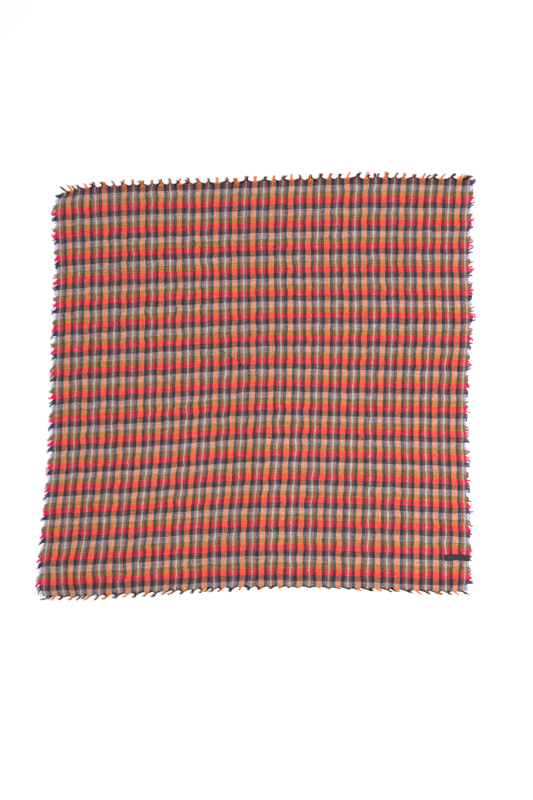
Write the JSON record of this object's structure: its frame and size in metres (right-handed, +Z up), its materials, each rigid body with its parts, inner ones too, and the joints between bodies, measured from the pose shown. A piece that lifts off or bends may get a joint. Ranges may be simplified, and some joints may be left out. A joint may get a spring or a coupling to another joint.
{
  "type": "fringed check wool bandana",
  "caption": "Square bandana woven in fine wool in a small multicolour check, opened out flat, with a short self-fringe on all sides and a bare sewn label.",
  "frame": {"origin": "on the surface it lies on, under the middle of the whole piece with its fringe", "axes": "+Z up from the surface, +Y towards the top edge, +X towards the right edge, where the label is"},
  "size_m": [0.7024, 0.6856, 0.0051],
  "materials": {
    "wool_check": "soft matt plain-woven fine wool in a check of orange, charcoal, maroon and mint stripes crossed by olive, red, navy and lilac bands",
    "warp_yarn": "loose matt wool yarn ends in orange, charcoal, maroon and pale mint",
    "weft_yarn": "soft fuzzy wool yarn ends in hot red, navy, lilac and olive brown",
    "label_weave": "smooth fine-woven charcoal ribbon, bare"
  },
  "bodies": {
    "root": {"cloth": "wool_check", "fringe_top": "warp_yarn", "fringe_bottom": "warp_yarn", "fringe_left": "weft_yarn", "fringe_right": "weft_yarn", "label": "label_weave"}
  },
  "joints": []
}
